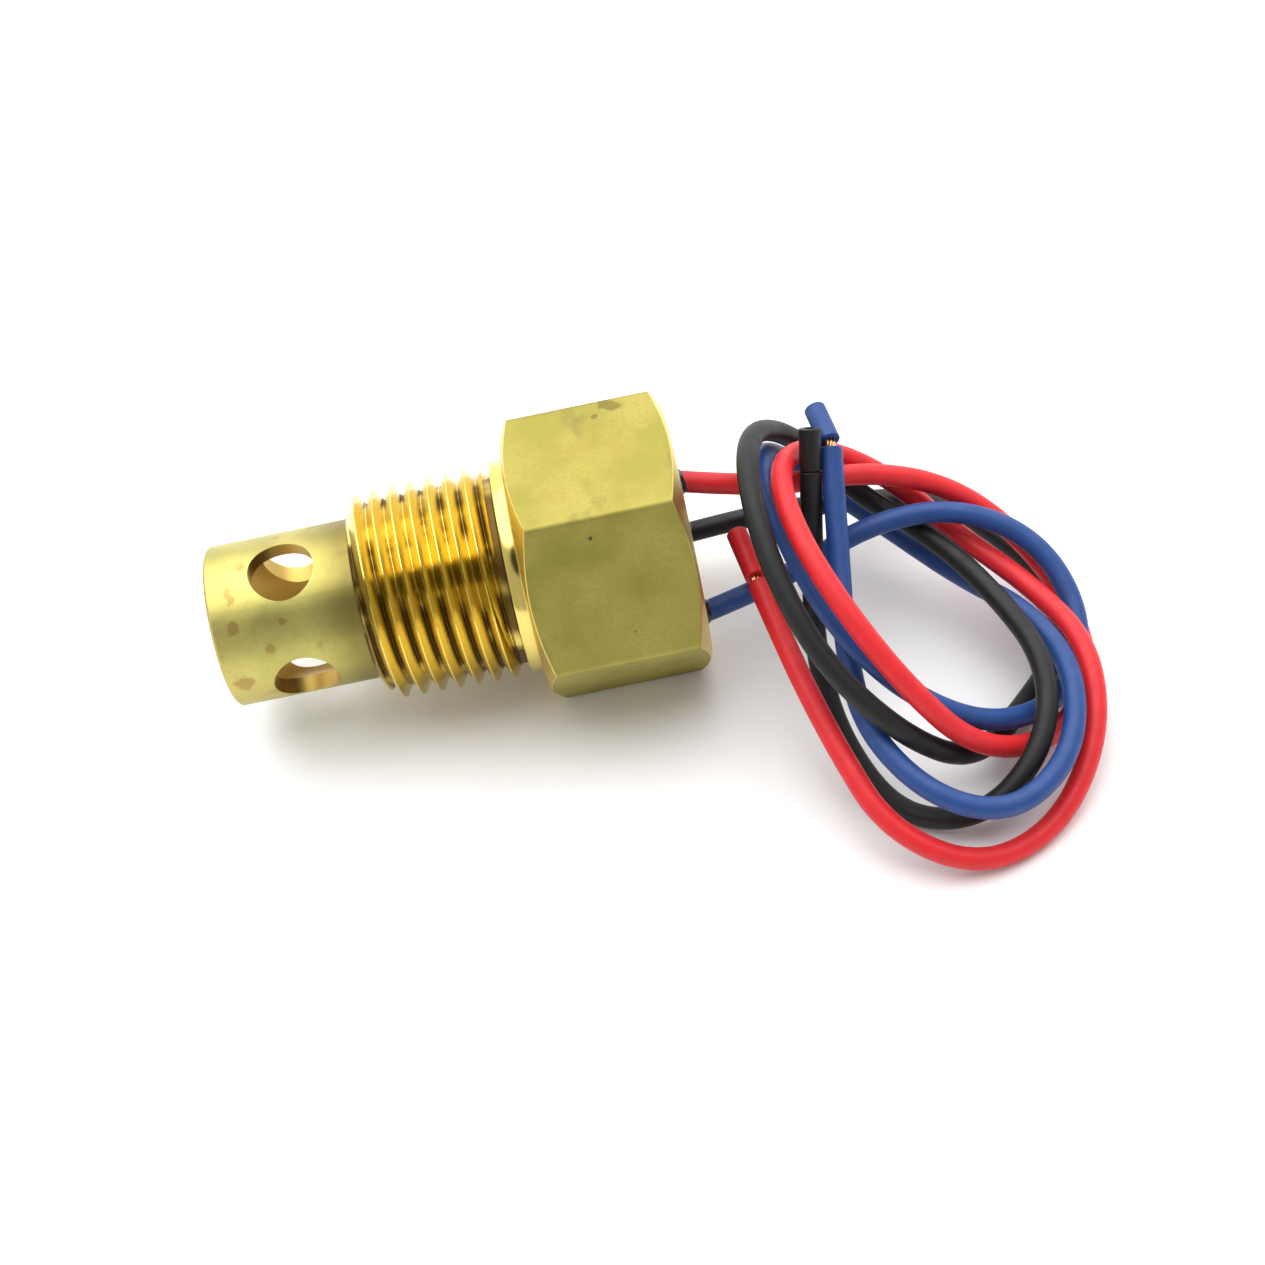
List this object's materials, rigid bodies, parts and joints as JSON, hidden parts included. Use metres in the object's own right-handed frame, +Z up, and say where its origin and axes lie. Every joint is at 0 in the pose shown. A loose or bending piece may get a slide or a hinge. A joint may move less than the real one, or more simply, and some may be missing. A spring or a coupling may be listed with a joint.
{
  "type": "pressure switch",
  "caption": "Brass pipe-thread pressure switch with a perforated guard tube in front, a hexagon body, and potted red, black and blue flying leads coiled behind.",
  "frame": {"origin": "middle of the switch's length, under its axis, on the lower hexagon flat; the leads are not counted", "axes": "+X along the axis from the guard tube's mouth to the leads, +Z up out of the top hexagon flat, +Y to the left when looking along +X"},
  "size_m": [0.0826, 0.0523, 0.0255],
  "materials": {
    "hex_body_brass": "satin machined brass, polished on the thread",
    "guard_tube_brass": "satin brass with light tarnish",
    "plug_brass": "machined brass",
    "seal_rubber": "matte nitrile rubber",
    "diaphragm_film": "satin polyimide film",
    "clamp_ring_brass": "turned brass",
    "piston_steel": "turned stainless steel",
    "spring_steel": "drawn spring wire",
    "guide_plate_steel": "turned stainless steel",
    "push_tip_plastic": "moulded nylon",
    "contact_ring_plastic": "moulded phenolic",
    "switch_base_plastic": "moulded phenolic",
    "terminal_brass": "stamped brass",
    "pivot_steel": "ground steel",
    "contact_arm_brass": "stamped spring bronze",
    "contact_silver": "silver alloy",
    "solder": "dull solder",
    "dam_plastic": "moulded nylon",
    "potting_resin": "set epoxy resin",
    "red_insulation": "smooth PVC",
    "black_insulation": "smooth PVC",
    "blue_insulation": "smooth PVC",
    "copper_strands": "bare copper strands"
  },
  "bodies": {
    "housing": {"hex_body": "hex_body_brass", "guard_tube": "guard_tube_brass", "snubber_plug": "plug_brass", "seal_ring": "seal_rubber", "diaphragm": "diaphragm_film", "clamp_ring": "clamp_ring_brass", "range_spring": "spring_steel", "guide_plate": "guide_plate_steel", "contact_ring": "contact_ring_plastic", "switch_base": "switch_base_plastic", "common_terminal": "terminal_brass", "pivot_pin": "pivot_steel", "nc_terminal": "terminal_brass", "nc_contact": "contact_silver", "no_terminal": "terminal_brass", "no_contact": "contact_silver", "arm_spring": "spring_steel", "solder_joints": "solder", "dam_cup": "dam_plastic", "potting": "potting_resin", "red_lead": "red_insulation", "red_inner_lead": "red_insulation", "red_sleeve": "red_insulation", "red_strands": "copper_strands", "black_lead": "black_insulation", "black_inner_lead": "black_insulation", "black_sleeve": "black_insulation", "black_strands": "copper_strands", "blue_lead": "blue_insulation", "blue_inner_lead": "blue_insulation", "blue_sleeve": "blue_insulation", "blue_strands": "copper_strands"},
    "plunger": {"piston": "piston_steel", "push_tip": "push_tip_plastic"},
    "arm": {"contact_arm": "contact_arm_brass", "moving_contact": "contact_silver"}
  },
  "joints": [
    {"name": "plunger_slide", "type": "slide", "parent": "housing", "child": "plunger", "axis": [1, 0, 0], "range_m": [0, 0.0005], "stiffness_N_per_m": 2000, "springref_m": -0.0005, "deforming": ["diaphragm", "range_spring"]},
    {"name": "arm_pivot", "type": "hinge", "parent": "housing", "child": "arm", "pos_m": [0.0152, -0.00594, 0.00863], "axis": [0, 0.566, -0.8244], "range_deg": [0, 4], "deforming": ["arm_spring"]}
  ],
  "couplings": [
    {"joint": "arm_pivot", "follows": "plunger_slide", "rad_per_m": 138.9}
  ]
}
